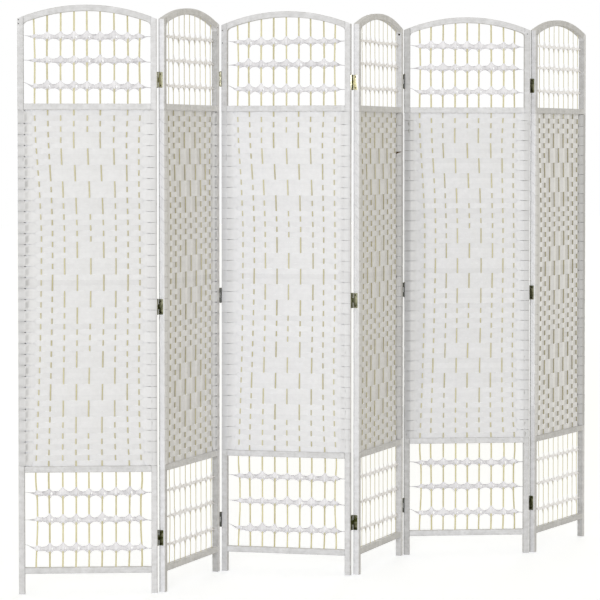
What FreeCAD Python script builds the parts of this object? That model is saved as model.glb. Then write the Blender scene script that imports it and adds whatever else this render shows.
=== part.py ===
"""Folding room divider: six arched panels of woven paper strip on slim frames, joined by butt hinges.

Frame of the model: millimetres, floor at Z = 0, +X along the run from the first panel to the last,
+Y from the front of the screen to its back, origin under the middle of the standing zig-zag.
Each panel is modelled once in its own frame: X from its left edge, Y = 0 in its middle plane.
"""
import FreeCAD, Part
import math
import os

from FreeCAD import Placement, Rotation, Vector

# Driving dimensions: the standing screen
PANEL_COUNT = 6
FOLD_ANGLES = (65.0, 81.0, 81.0, 63.0, 55.0)   # turn from one panel to the next, as it stands
PANEL_WIDTH = 400.0

# Driving dimensions: the wrapped wooden frame, from the floor upwards
LEG_HEIGHT = 59.0                               # floor to the bottom rail
LOWER_LATTICE = 275.0                           # clear height between the bottom and lower rails
WEAVE_HEIGHT = 1028.0                           # clear height between the lower and upper rails
UPPER_LATTICE = 244.0                           # upper rail to the outer corner of the arch
ARCH_RISE = 40.0
RAIL_HEIGHT = 18.0
ARCH_BAND = 18.0
POST_WIDTH = 18.0
FRAME_DEPTH = 18.0

# Driving dimensions: the upright rods
ROD_COUNT = 9
ROD_EDGE_SPACE = 30.0                           # post to the middle of the nearest rod
ROD_WIDTH = 4.5
ROD_DEPTH = 2.5
ROD_SEAT = 8.0                                  # how far a rod end sits in the bottom rail and the arch

# Driving dimensions: the woven strips and the twined rows of the open lattices
STRIP_THICKNESS = 1.0
STRIP_CLEARANCE = 0.8                           # between a strip and the rod that it passes
COURSE_COUNT = 10
COURSE_GAP = 0.4
ROWS_PER_LATTICE = 3
STRAND_HEIGHT = 14.0
STRAND_THICKNESS = 1.2

# Driving dimensions: the butt hinges
BOTTOM_HINGE_HEIGHT = 158.0
TOP_HINGE_DROP = 175.0                          # below the outer corner of the arch
MIDDLE_HINGE_RAISE = 7.5                        # above the midpoint of the other two
FRONT_HINGE_RAISE = 12.0                        # of the upper two where the pins stand at the front
HINGE_HEIGHT = 45.0
LEAF_WIDTH = 11.0                               # on the post's edge, without the knuckle
LEAF_THICKNESS = 1.2
LEAF_GAP = 0.6                                  # between the leaves of a closed hinge
KNUCKLE_RADIUS = 2.5
KNUCKLE_STANDOFF = 0.3                          # between the knuckle and the plane of the frame's face
KNUCKLE_COUNT = 3
KNUCKLE_END_GAP = 0.3
BARREL_SIDES = 8                                # flats of a knuckle, its bore and its pin
PIN_RADIUS = 1.2
PIN_CLEARANCE = 0.05

# Sizes that follow from the driving dimensions
HALF_DEPTH = FRAME_DEPTH / 2
BOTTOM_RAIL_TOP = LEG_HEIGHT + RAIL_HEIGHT
LOWER_RAIL_BASE = BOTTOM_RAIL_TOP + LOWER_LATTICE
WEAVE_BASE = LOWER_RAIL_BASE + RAIL_HEIGHT
WEAVE_TOP = WEAVE_BASE + WEAVE_HEIGHT
UPPER_RAIL_TOP = WEAVE_TOP + RAIL_HEIGHT
SHOULDER_HEIGHT = UPPER_RAIL_TOP + UPPER_LATTICE
PANEL_HEIGHT = SHOULDER_HEIGHT + ARCH_RISE
ARCH_RADIUS = ((PANEL_WIDTH / 2) ** 2 + ARCH_RISE ** 2) / (2 * ARCH_RISE)
ARCH_CENTRE = Vector(PANEL_WIDTH / 2, 0, PANEL_HEIGHT - ARCH_RADIUS)
INNER_RADIUS = ARCH_RADIUS - ARCH_BAND
SEAT_RADIUS = INNER_RADIUS + ROD_SEAT
FIRST_ROD = POST_WIDTH + ROD_EDGE_SPACE
ROD_PITCH = (PANEL_WIDTH - 2 * FIRST_ROD) / (ROD_COUNT - 1)
COURSE_PITCH = WEAVE_HEIGHT / COURSE_COUNT
STRIP_SWING = ROD_DEPTH / 2 + STRIP_CLEARANCE + STRIP_THICKNESS / 2
WRAP_LEVEL = HALF_DEPTH - STRIP_THICKNESS / 2
TOP_HINGE_HEIGHT = SHOULDER_HEIGHT - TOP_HINGE_DROP
MIDDLE_HINGE_HEIGHT = (BOTTOM_HINGE_HEIGHT + TOP_HINGE_HEIGHT) / 2 + MIDDLE_HINGE_RAISE
JOINT_GAP = 2 * LEAF_THICKNESS + LEAF_GAP
PIN_OFFSET = KNUCKLE_RADIUS + KNUCKLE_STANDOFF
UP = Vector(0, 0, 1)


def block(x_low, x_high, y_low, y_high, z_low, z_high):
    """A rectangular block between the given limits."""
    corner = Vector(x_low, y_low, z_low)
    return Part.makeBox(x_high - x_low, y_high - y_low, z_high - z_low, corner)


def rod_place(index):
    """Distance of a rod's middle from the panel's left edge; index 0 is the first rod."""
    return FIRST_ROD + index * ROD_PITCH


def arch_disc(radius, depth):
    """A disc about the arch's centre, lying in the panel's plane."""
    base = ARCH_CENTRE - Vector(0, depth / 2, 0)
    return Part.makeCylinder(radius, depth, base, Vector(0, 1, 0))


def rod_slot(z_low, z_high):
    """The straight slot that takes the whole row of rods between two heights."""
    first = rod_place(0) - ROD_WIDTH / 2
    last = rod_place(ROD_COUNT - 1) + ROD_WIDTH / 2
    return block(first, last, -ROD_DEPTH / 2, ROD_DEPTH / 2, z_low, z_high)


def post_wrap(on_left):
    """The paper loops round one post: a channel open towards the rods."""
    outer = block(0, POST_WIDTH, -HALF_DEPTH, HALF_DEPTH, WEAVE_BASE, WEAVE_TOP)
    level = HALF_DEPTH - STRIP_THICKNESS
    core = block(STRIP_THICKNESS, POST_WIDTH, -level, level, WEAVE_BASE, WEAVE_TOP)
    wrap = outer.cut(core)
    if on_left:
        return wrap
    return wrap.mirror(Vector(PANEL_WIDTH / 2, 0, 0), Vector(1, 0, 0))


def post(on_left):
    """One upright post, foot at the floor, its top cut to the arch and its woven length reduced."""
    x_low = 0 if on_left else PANEL_WIDTH - POST_WIDTH
    bar = block(x_low, x_low + POST_WIDTH, -HALF_DEPTH, HALF_DEPTH, 0, PANEL_HEIGHT)
    under_arch = block(0, PANEL_WIDTH, -HALF_DEPTH, HALF_DEPTH, 0, ARCH_CENTRE.z)
    under_arch = under_arch.fuse(arch_disc(ARCH_RADIUS, FRAME_DEPTH))
    return bar.common(under_arch).cut(post_wrap(on_left))


def arch_rail():
    """The bowed top rail between the posts, grooved below for the rod ends."""
    band = arch_disc(ARCH_RADIUS, FRAME_DEPTH).cut(arch_disc(INNER_RADIUS, FRAME_DEPTH))
    span = block(POST_WIDTH, PANEL_WIDTH - POST_WIDTH, -HALF_DEPTH, HALF_DEPTH, ARCH_CENTRE.z, PANEL_HEIGHT)
    groove = rod_slot(ARCH_CENTRE.z, PANEL_HEIGHT).common(arch_disc(SEAT_RADIUS, FRAME_DEPTH))
    return band.common(span).cut(groove)


def cross_rail(base, slot_base):
    """A straight rail between the posts, slotted for the rods from slot_base to its top."""
    top = base + RAIL_HEIGHT
    bar = block(POST_WIDTH, PANEL_WIDTH - POST_WIDTH, -HALF_DEPTH, HALF_DEPTH, base, top)
    return bar.cut(rod_slot(slot_base, top))


def cross_rails():
    """The bottom, lower and upper rails; the rods end in the first and pass the other two."""
    return [
        cross_rail(LEG_HEIGHT, BOTTOM_RAIL_TOP - ROD_SEAT),
        cross_rail(LOWER_RAIL_BASE, LOWER_RAIL_BASE),
        cross_rail(WEAVE_TOP, WEAVE_TOP),
    ]


def rod(index):
    """One upright rod from its seat in the bottom rail to its seat in the arch."""
    x = rod_place(index)
    reach = abs(x - ARCH_CENTRE.x) + ROD_WIDTH / 2
    top = ARCH_CENTRE.z + math.sqrt(SEAT_RADIUS ** 2 - reach ** 2)
    base = BOTTOM_RAIL_TOP - ROD_SEAT
    return block(x - ROD_WIDTH / 2, x + ROD_WIDTH / 2, -ROD_DEPTH / 2, ROD_DEPTH / 2, base, top)


def course(number):
    """One course of strip: over one rod and under the next, ending on the wraps of both posts."""
    places = [POST_WIDTH] + [rod_place(k) for k in range(ROD_COUNT)] + [PANEL_WIDTH - POST_WIDTH]
    near, far = [], []
    for step, x in enumerate(places):
        on_post = step in (0, len(places) - 1)
        swing = WRAP_LEVEL if on_post else STRIP_SWING
        y = swing if (number + step) % 2 else -swing
        near.append(Vector(x, y - STRIP_THICKNESS / 2, 0))
        far.append(Vector(x, y + STRIP_THICKNESS / 2, 0))
    outline = Part.makePolygon(near + far[::-1] + near[:1])
    strip = Part.Face(outline).extrude(UP * (COURSE_PITCH - COURSE_GAP))
    strip.translate(UP * (WEAVE_BASE + number * COURSE_PITCH + COURSE_GAP / 2))
    return strip


def weave():
    """The woven field: every course joined to the loops round the two posts."""
    courses = [course(number) for number in range(COURSE_COUNT)]
    return post_wrap(True).multiFuse([post_wrap(False)] + courses).removeSplitter()


def twined_row(height):
    """One twined row of an open lattice: a strand in front of the rods and one behind them."""
    strands = []
    for side in (-1, 1):
        inner = side * ROD_DEPTH / 2
        outer = inner + side * STRAND_THICKNESS
        y_low, y_high = min(inner, outer), max(inner, outer)
        z_low, z_high = height - STRAND_HEIGHT / 2, height + STRAND_HEIGHT / 2
        strands.append(block(POST_WIDTH, PANEL_WIDTH - POST_WIDTH, y_low, y_high, z_low, z_high))
    return strands


def row_heights(base, clear_height):
    """Heights of the twined rows over a rail: evenly spaced, the first three quarters of a pitch up."""
    pitch = clear_height / (ROWS_PER_LATTICE + 0.5)
    return [base + (number + 0.75) * pitch for number in range(ROWS_PER_LATTICE)]


def lattice():
    """The twined rows above the upper rail and above the bottom rail."""
    heights = row_heights(UPPER_RAIL_TOP, UPPER_LATTICE) + row_heights(BOTTOM_RAIL_TOP, LOWER_LATTICE)
    strands = []
    for height in heights:
        strands += twined_row(height)
    return strands


def barrel(radius, z_low, z_high):
    """An upright faceted barrel about the origin, its corners on the given radius."""
    turns = [2 * math.pi * side / BARREL_SIDES for side in range(BARREL_SIDES + 1)]
    corners = [Vector(radius * math.cos(turn), radius * math.sin(turn), z_low) for turn in turns]
    return Part.Face(Part.makePolygon(corners)).extrude(UP * (z_high - z_low))


def knuckle_spans(on_left):
    """Heights of a leaf's knuckles about the hinge's middle: the left leaf has the two outer ones."""
    step = HINGE_HEIGHT / KNUCKLE_COUNT
    first = 0 if on_left else 1
    spans = []
    for number in range(first, KNUCKLE_COUNT, 2):
        low = number * step - HINGE_HEIGHT / 2
        low_gap = KNUCKLE_END_GAP / 2 if number > 0 else 0
        high_gap = KNUCKLE_END_GAP / 2 if number < KNUCKLE_COUNT - 1 else 0
        spans.append((low + low_gap, low + step - high_gap))
    return spans


def hinge_leaf(on_left):
    """One leaf about its pin at the origin: a plate for the post's edge and its bored knuckles."""
    face = -JOINT_GAP / 2
    half = HINGE_HEIGHT / 2
    leaf = block(face, face + LEAF_THICKNESS, -PIN_OFFSET - LEAF_WIDTH, -PIN_OFFSET, -half, half)
    bore_radius = (PIN_RADIUS + PIN_CLEARANCE) / math.cos(math.pi / BARREL_SIDES)
    for z_low, z_high in knuckle_spans(on_left):
        tab = block(face, face + LEAF_THICKNESS, -PIN_OFFSET, 0, z_low, z_high)
        leaf = leaf.fuse(tab).fuse(barrel(KNUCKLE_RADIUS, z_low, z_high))
    leaf = leaf.cut(barrel(bore_radius, -half, half)).removeSplitter()
    if on_left:
        return leaf
    return leaf.mirror(Vector(0, 0, 0), Vector(1, 0, 0))


def hinge_pin():
    """One hinge pin about the origin, as long as the hinge."""
    return barrel(PIN_RADIUS, -HINGE_HEIGHT / 2, HINGE_HEIGHT / 2)


def pin_side(joint):
    """Side of the panels that a joint's pins stand on: +1 at the back, -1 at the front."""
    return 1 if joint % 2 else -1


def hinge_centres(joint):
    """Heights of a joint's hinges, from the bottom one up."""
    raised = FRONT_HINGE_RAISE if pin_side(joint) < 0 else 0.0
    return (BOTTOM_HINGE_HEIGHT, MIDDLE_HINGE_HEIGHT + raised, TOP_HINGE_HEIGHT + raised)


def right_pivot(joint):
    """A joint's pin axis in the frame of the panel on its left."""
    return Vector(PANEL_WIDTH + JOINT_GAP / 2, pin_side(joint) * (HALF_DEPTH + PIN_OFFSET), 0)


def left_pivot(joint):
    """A joint's pin axis in the frame of the panel on its right."""
    return Vector(-JOINT_GAP / 2, pin_side(joint) * (HALF_DEPTH + PIN_OFFSET), 0)


def leaves_on(pivot, joint, on_left):
    """The leaves of one joint that are screwed to one panel."""
    leaf = hinge_leaf(on_left)
    if pin_side(joint) < 0:
        leaf = leaf.mirror(Vector(0, 0, 0), Vector(0, 1, 0))
    return [leaf.translated(pivot + UP * height) for height in hinge_centres(joint)]


def panel_leaves(panel):
    """Every hinge leaf of one panel: left edge, then right edge."""
    leaves = []
    if panel > 1:
        leaves += leaves_on(left_pivot(panel - 1), panel - 1, False)
    if panel < PANEL_COUNT:
        leaves += leaves_on(right_pivot(panel), panel, True)
    return leaves


def joint_pins(joint):
    """The pins of one joint, in the frame of the panel on its left."""
    return [hinge_pin().translated(right_pivot(joint) + UP * height) for height in hinge_centres(joint)]


def fold_chain(start):
    """Places of all panels, each turned from the one before about their shared pins."""
    places = [start]
    for joint in range(1, PANEL_COUNT):
        turn = Rotation(UP, pin_side(joint) * FOLD_ANGLES[joint - 1])
        step = Placement(right_pivot(joint), turn) * Placement(-left_pivot(joint), Rotation())
        places.append(places[-1] * step)
    return places


def panel_places():
    """Places of all panels with the run along +X and the origin under its middle."""
    straight = fold_chain(Placement())
    run = straight[-1].multVec(Vector(PANEL_WIDTH, 0, 0))
    aligned = fold_chain(Placement(Vector(), Rotation(run, Vector(1, 0, 0))))
    edges = [(x, y) for x in (0, PANEL_WIDTH) for y in (-HALF_DEPTH, HALF_DEPTH)]
    corners = [place.multVec(Vector(x, y, 0)) for place in aligned for x, y in edges]
    xs = [corner.x for corner in corners]
    ys = [corner.y for corner in corners]
    shift = Vector(-(min(xs) + max(xs)) / 2, -(min(ys) + max(ys)) / 2, 0)
    return [Placement(shift, Rotation()) * place for place in aligned]


def write_node(name, solids, place):
    """Puts a group of solids in its place and writes it as one node."""
    shape = solids[0] if len(solids) == 1 else Part.makeCompound(solids)
    placed = shape.copy()
    placed.Placement = place * placed.Placement
    placed.exportStep(os.path.join("parts", name + ".step"))


def main():
    """Builds the panel's pieces once and writes them for every panel, then the pins of every joint."""
    os.makedirs("parts", exist_ok=True)
    pieces = {
        "left_post": [post(True)],
        "right_post": [post(False)],
        "arch_rail": [arch_rail()],
        "cross_rails": cross_rails(),
        "rods": [rod(index) for index in range(ROD_COUNT)],
        "weave": [weave()],
        "lattice": lattice(),
    }
    places = panel_places()
    for panel, place in enumerate(places, start=1):
        for name, solids in pieces.items():
            write_node(f"panel_{panel}_{name}", solids, place)
        write_node(f"panel_{panel}_hinge_leaves", panel_leaves(panel), place)
    for joint in range(1, PANEL_COUNT):
        write_node(f"hinge_pins_{joint}_{joint + 1}", joint_pins(joint), places[joint - 1])


if __name__ == "__main__":
    main()
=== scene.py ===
"""Dresses the folding screen: taped frames, peeled rods, woven and twined paper, brass butt hinges, studio.

Lengths are metres. A panel is modelled in its own frame, X from its left edge, Y = 0 in its middle plane with
the front at -Y, Z up from the floor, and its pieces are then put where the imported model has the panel.
"""

import logging
import math
import random
from collections.abc import Callable, Hashable, Iterator, Sequence
from contextlib import contextmanager
from dataclasses import dataclass, field
from enum import Enum
from functools import cache

import bmesh
import bpy
import numpy as np
from mathutils import Matrix, Vector


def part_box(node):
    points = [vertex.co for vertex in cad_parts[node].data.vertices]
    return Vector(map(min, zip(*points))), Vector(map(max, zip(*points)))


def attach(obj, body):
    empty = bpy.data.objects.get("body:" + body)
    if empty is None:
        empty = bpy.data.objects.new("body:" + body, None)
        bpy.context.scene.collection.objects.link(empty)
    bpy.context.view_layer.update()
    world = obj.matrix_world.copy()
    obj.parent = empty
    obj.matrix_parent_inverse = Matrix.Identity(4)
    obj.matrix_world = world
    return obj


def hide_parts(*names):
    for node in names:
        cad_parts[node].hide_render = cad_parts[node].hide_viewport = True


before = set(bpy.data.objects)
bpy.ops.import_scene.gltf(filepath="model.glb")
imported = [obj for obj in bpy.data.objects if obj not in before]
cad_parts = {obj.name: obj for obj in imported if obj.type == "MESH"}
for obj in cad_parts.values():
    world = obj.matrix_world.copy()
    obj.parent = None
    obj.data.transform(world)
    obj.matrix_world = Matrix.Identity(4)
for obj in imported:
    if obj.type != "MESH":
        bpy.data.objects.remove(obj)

LOG = logging.getLogger("screen")
PANELS = range(1, 7)
JOINTS = range(1, 6)
UV_NAME = "lay"
TONE_NAME = "tone"
TINY = 1e-6

Colour = tuple[float, float, float]
Plane = tuple[Sequence[float], Sequence[float]]
Shades = tuple[tuple[str, float], ...]
Test = Callable[..., bool]
Way = list[tuple[float, float, float, float]]  # places along a strip: x, y, height of its middle, half-width


class Side(Enum):
    """Which face of a panel something is on."""

    FRONT = -1
    BACK = 1


class Turn(Enum):
    """How the strips leave a post: flat with thin creases between them, or pinched into curls."""

    CREASED = "creased"
    CURLED = "curled"


class Pick(Enum):
    """What an edit-mode selection is made of."""

    EDGES = "EDGE"
    FACES = "FACE"


def ease(share: float) -> float:
    """Smooth step from 0 to 1."""
    share = min(1.0, max(0.0, share))
    return share * share * (3 - 2 * share)


def srgb(*channels: int) -> Colour:
    """A screen colour of 0 to 255 as a linear one."""
    return tuple(c / 12.92 if c < 0.04045 else ((c + 0.055) / 1.055) ** 2.4 for c in (n / 255 for n in channels))


def rows_of(table: Sequence[tuple], *keys: object) -> list[tuple]:
    """Those rows of a table that start with some keys, without the keys."""
    return [row[len(keys):] for row in table if row[:len(keys)] == keys]


def whole(element: bmesh.types.BMFace) -> bool:
    """A test that every element passes."""
    return True


def runs_along(axis: int) -> Test:
    """A test for edges that run along one axis."""
    return lambda edge: abs((edge.verts[1].co - edge.verts[0].co).normalized()[axis]) > 0.999


def read(items: bpy.types.bpy_prop_collection, key: str, width: int, kind: type = float) -> np.ndarray:
    """Reads one property of every item of a mesh.

    Args:
        items: the points, corners or other items.
        key: the property.
        width: how many numbers it has.
        kind: the type of the numbers.

    Returns:
        A row of numbers for each item.
    """
    flat = np.zeros(len(items) * width, kind)
    items.foreach_get(key, flat)
    return flat.reshape(-1, width)


def take(*pieces: "Piece") -> None:
    """Selects some pieces and nothing else.

    Args:
        pieces: the pieces, of which the first becomes active; with none, everything is deselected.
    """
    bpy.ops.object.select_all(action="DESELECT")
    for piece in reversed(pieces):
        piece.thing.select_set(True)
        bpy.context.view_layer.objects.active = piece.thing


class Piece:
    """One object of the scene, with the hand moves that every piece is made with."""

    def __init__(self, thing: bpy.types.Object, name: str) -> None:
        """Takes an object and names it."""
        self.thing = thing
        thing.name = name

    @classmethod
    def added(cls, name: str, operator: Callable[..., set], scale: Sequence[float] = (1, 1, 1),
              **settings: object) -> "Piece":
        """Adds a primitive and puts its place and size into its mesh.

        Args:
            name: the piece's name.
            operator: what adds the primitive.
            scale: its scale along the axes.
            settings: what the operator is told.

        Returns:
            The piece.
        """
        take()
        operator(**settings)
        piece = cls(bpy.context.object, name)
        piece.thing.scale = scale
        take(piece)
        bpy.ops.object.transform_apply(location=True, rotation=True, scale=True)
        return piece

    @classmethod
    def block(cls, name: str, low: Sequence[float], high: Sequence[float]) -> "Piece":
        """Adds a block between its lowest and its highest corner."""
        low, high = Vector(low), Vector(high)
        return cls.added(name, bpy.ops.mesh.primitive_cube_add, high - low, size=1, location=(low + high) / 2)

    @classmethod
    def barrel(cls, name: str, radius: float, low: float, height: float, sides: int) -> "Piece":
        """Adds an upright barrel about the Z axis, with its lower end at a level."""
        return cls.added(name, bpy.ops.mesh.primitive_cylinder_add, vertices=sides, radius=radius, depth=height,
                         location=(0, 0, low + height / 2))

    @classmethod
    def ribbon(cls, name: str, along: int, across: int) -> tuple["Piece", np.ndarray, np.ndarray]:
        """Adds a flat ribbon of unit size.

        Args:
            name: the piece's name.
            along: its number of points along its length.
            across: its number of points across.

        Returns:
            The ribbon, and the numbers of each of its points along and across.
        """
        piece = cls.added(name, bpy.ops.mesh.primitive_grid_add, size=1,
                          x_subdivisions=along - 1, y_subdivisions=across - 1)
        step, over = np.rint((piece.points[:, :2] + 0.5) * (along - 1, across - 1)).astype(int).T
        return piece, step, over

    @property
    def mesh(self) -> bpy.types.Mesh:
        """The piece's own mesh."""
        return self.thing.data

    @property
    def points(self) -> np.ndarray:
        """The piece's points as rows of x, y, z."""
        return read(self.mesh.vertices, "co", 3)

    @points.setter
    def points(self, places: np.ndarray) -> None:
        """Puts the piece's points at new places."""
        self.mesh.vertices.foreach_set("co", places.ravel())
        self.mesh.update()

    @property
    def tone(self) -> np.ndarray:
        """How light or dark each point's own strip, turn or rod is."""
        return read(self.mesh.attributes[TONE_NAME].data, "value", 1, np.float32)[:, 0]

    @tone.setter
    def tone(self, values: np.ndarray | float) -> None:
        """Writes how light or dark each point is.

        Args:
            values: a tone for each point, or one for all.
        """
        if TONE_NAME not in self.mesh.attributes:
            self.mesh.attributes.new(TONE_NAME, "FLOAT", "POINT")
        full = np.broadcast_to(np.asarray(values, np.float32), len(self.mesh.vertices))
        self.mesh.attributes[TONE_NAME].data.foreach_set("value", np.ascontiguousarray(full))

    @contextmanager
    def editing(self, pick: Pick, test: Test) -> Iterator[None]:
        """Edit mode for the length of a with block.

        Args:
            pick: what is selected at its start.
            test: which of them.

        Yields:
            Nothing.
        """
        take(self)
        bpy.ops.object.mode_set(mode="EDIT")
        self.select(pick, test)
        yield
        bpy.ops.object.mode_set(mode="OBJECT")

    def select(self, pick: Pick, test: Test) -> None:
        """In edit mode, selects the edges or faces that pass a test, and nothing else.

        Args:
            pick: what is selected.
            test: takes one bmesh element and says whether it belongs.
        """
        bpy.ops.mesh.select_mode(type=pick.value)
        bpy.ops.mesh.select_all(action="DESELECT")
        mesh = bmesh.from_edit_mesh(self.mesh)
        for element in getattr(mesh, pick.name.lower()):
            element.select_set(bool(test(element)))
        mesh.select_flush_mode()
        bmesh.update_edit_mesh(self.mesh)

    def bevel(self, test: Test, radius: float, segments: int) -> None:
        """Rounds the edges that pass a test."""
        with self.editing(Pick.EDGES, test):
            bpy.ops.mesh.bevel(offset=radius, segments=segments, affect="EDGES")

    def divide(self, axis: int, cuts: int) -> None:
        """Cuts every edge along one axis into equal lengths."""
        with self.editing(Pick.EDGES, runs_along(axis)):
            bpy.ops.mesh.subdivide(number_cuts=cuts)

    def slice(self, test: Test, planes: Sequence[Plane], **settings: bool) -> None:
        """Cuts the piece where planes go through it.

        Args:
            test: which faces are cut.
            planes: a point and a normal of each plane.
            settings: what else the cut is told.
        """
        for place, normal in planes:
            with self.editing(Pick.FACES, test):
                bpy.ops.mesh.bisect(plane_co=place, plane_no=normal, **settings)

    def copy(self, name: str) -> "Piece":
        """Copies the piece with its own mesh.

        Args:
            name: the copy's name.

        Returns:
            The copy.
        """
        twin = self.thing.copy()
        twin.data = self.mesh.copy()
        bpy.context.scene.collection.objects.link(twin)
        return Piece(twin, name)

    @staticmethod
    def join(name: str, pieces: Sequence["Piece"]) -> "Piece":
        """Joins pieces into the first of them.

        Args:
            name: the name of what they become.
            pieces: the pieces.

        Returns:
            The joined piece.
        """
        take(*pieces)
        if len(pieces) > 1:
            bpy.ops.object.join()
        return Piece(pieces[0].thing, name)

    def thicken(self, thickness: float) -> None:
        """Gives a sheet its thickness, half to each side.

        Args:
            thickness: the sheet's thickness.
        """
        take(self)
        solid = self.thing.modifiers.new("thickness", "SOLIDIFY")
        solid.thickness, solid.offset = thickness, 0
        bpy.ops.object.modifier_apply(modifier=solid.name)

    def soften(self, degrees: float) -> None:
        """Smooth shading, broken at edges sharper than an angle."""
        take(self)
        bpy.ops.object.shade_smooth_by_angle(angle=math.radians(degrees))

    def lay_out(self) -> None:
        """Lays the piece out flat for its finish: X and Y run together along the first axis, Z is the second."""
        x, y, z = self.points[read(self.mesh.loops, "vertex_index", 1, int)[:, 0]].T
        layer = self.mesh.uv_layers.new(name=UV_NAME)
        layer.data.foreach_set("uv", np.stack([x + y, z], axis=1).ravel())


class NodeBoard:
    """Adds and wires nodes in one shader tree."""

    def __init__(self, tree: bpy.types.NodeTree) -> None:
        """Starts from an empty tree."""
        self.tree = tree
        tree.nodes.clear()

    def add(self, kind: str, inputs: dict | None = None, **settings: object) -> bpy.types.Node:
        """Adds one node.

        Args:
            kind: the node's type, without its prefix.
            inputs: values or output sockets for its input sockets, by name or number.
            settings: its own properties.

        Returns:
            The node.
        """
        node = self.tree.nodes.new("ShaderNode" + kind)
        for key, value in settings.items():
            setattr(node, key, value)
        for key, value in (inputs or {}).items():
            self.feed(node.inputs[key], value)
        return node

    def feed(self, socket: bpy.types.NodeSocket, value: object) -> None:
        """Feeds an input socket.

        Args:
            socket: the input.
            value: an output socket to link to it, or a value to set.
        """
        if isinstance(value, bpy.types.NodeSocket):
            self.tree.links.new(value, socket)
        else:
            socket.default_value = (*value, 1.0) if socket.type == "RGBA" else value

    def math(self, operation: str, *values: object, clamp: bool = False) -> bpy.types.NodeSocket:
        """One sum on values or sockets, kept from 0 to 1 if it is clamped."""
        return self.add("Math", dict(enumerate(values)), operation=operation, use_clamp=clamp).outputs[0]

    def mix(self, share: object, first: object, second: object) -> bpy.types.NodeSocket:
        """A mix of two colours, whose sockets come after those for numbers and vectors."""
        return self.add("Mix", {0: share, 6: first, 7: second}, data_type="RGBA").outputs[2]

    def noise(self, place: object, scale: float, detail: float = 3.0) -> bpy.types.NodeSocket:
        """A noise value at a place."""
        return self.add("TexNoise", {"Vector": place, "Scale": scale, "Detail": detail}).outputs["Fac"]

    def own_tone(self) -> bpy.types.NodeSocket:
        """The tone that is written on the piece."""
        return self.add("Attribute", attribute_name=TONE_NAME).outputs["Fac"]

    def own_place(self) -> bpy.types.NodeSocket:
        """The place in the object's own coordinates."""
        return self.add("TexCoord").outputs["Object"]

    def white_seen(self) -> bpy.types.NodeSocket:
        """Tells rays that see the background itself: from the camera, in gloss or through glass.

        Returns:
            A socket that is 1 for them.
        """
        path = self.add("LightPath").outputs
        seen = self.math("MAXIMUM", path["Is Camera Ray"], path["Is Glossy Ray"])
        return self.math("MAXIMUM", seen, path["Is Transmission Ray"])


@cache
def fibres() -> bpy.types.NodeTree:
    """The effect that paper and rods share: long streaks, blotches and the piece's own tone.

    Returns:
        The node group, built once.
    """
    tree = bpy.data.node_groups.new("fibres", "ShaderNodeTree")
    board = NodeBoard(tree)
    for key, kind in {"Place": "Vector", "Tone": "Float", "Streak": "Float", "Blotch": "Float"}.items():
        tree.interface.new_socket(key, in_out="INPUT", socket_type="NodeSocket" + kind)
    for key in ("Shade", "Height"):
        tree.interface.new_socket(key, in_out="OUTPUT", socket_type="NodeSocketFloat")
    given = tree.nodes.new("NodeGroupInput").outputs
    drawn = [board.add("Mapping", {"Vector": given["Place"], "Scale": scale}).outputs["Vector"]
             for scale in ((30, 1100, 1), (9, 130, 1))]
    fine, broad = (board.noise(place, 1.0, 2.0) for place in drawn)
    blotch = board.noise(given["Place"], 70.0, 4.0)
    streak = board.math("ADD", board.math("MULTIPLY", fine, 0.6), board.math("MULTIPLY", broad, 0.4))
    shade = board.math("MULTIPLY", board.math("SUBTRACT", streak, 0.5), given["Streak"])
    patch = board.math("MULTIPLY", board.math("SUBTRACT", blotch, 0.5), given["Blotch"])
    made = tree.nodes.new("NodeGroupOutput").inputs
    board.feed(made["Shade"], board.math("ADD", board.math("ADD", shade, patch), given["Tone"], clamp=True))
    board.feed(made["Height"], board.math("ADD", streak, board.math("MULTIPLY", blotch, 0.5)))
    return tree


@dataclass(frozen=True)
class Finish:
    """What a surface looks like."""

    name: str

    def shader(self, board: NodeBoard) -> bpy.types.NodeSocket:
        """Wires the finish on a board and gives its shader's socket."""
        raise NotImplementedError

    def material(self) -> bpy.types.Material:
        """Builds the finish.

        Returns:
            The material.
        """
        material = bpy.data.materials.new(self.name)
        material.use_nodes = True
        board = NodeBoard(material.node_tree)
        board.add("OutputMaterial", {"Surface": self.shader(board)})
        return material


@dataclass(frozen=True)
class FibreFinish(Finish):
    """A dry fibrous surface: paper strip, paper tape, bare wood or a peeled rod."""

    light: Colour
    dark: Colour
    streak: float
    blotch: float
    rough: tuple[float, float]
    bump: float

    def shader(self, board: NodeBoard) -> bpy.types.NodeSocket:
        """Wires the finish from the piece's own layout and tone.

        Args:
            board: the material's board.

        Returns:
            The shader's socket.
        """
        place = board.add("UVMap", uv_map=UV_NAME).outputs["UV"]
        settings = {"Place": place, "Tone": board.own_tone(), "Streak": self.streak, "Blotch": self.blotch}
        grain = board.add("Group", settings, node_tree=fibres()).outputs
        span = board.math("MULTIPLY", grain["Shade"], self.rough[1] - self.rough[0])
        bump = board.add("Bump", {"Height": grain["Height"], "Strength": self.bump, "Distance": 0.0004})
        return board.add("BsdfPrincipled", {
            "Base Color": board.mix(grain["Shade"], self.light, self.dark),
            "Roughness": board.math("ADD", span, self.rough[0]),
            "Normal": bump.outputs["Normal"],
            "Specular IOR Level": 0.25,
        }).outputs["BSDF"]


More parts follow.
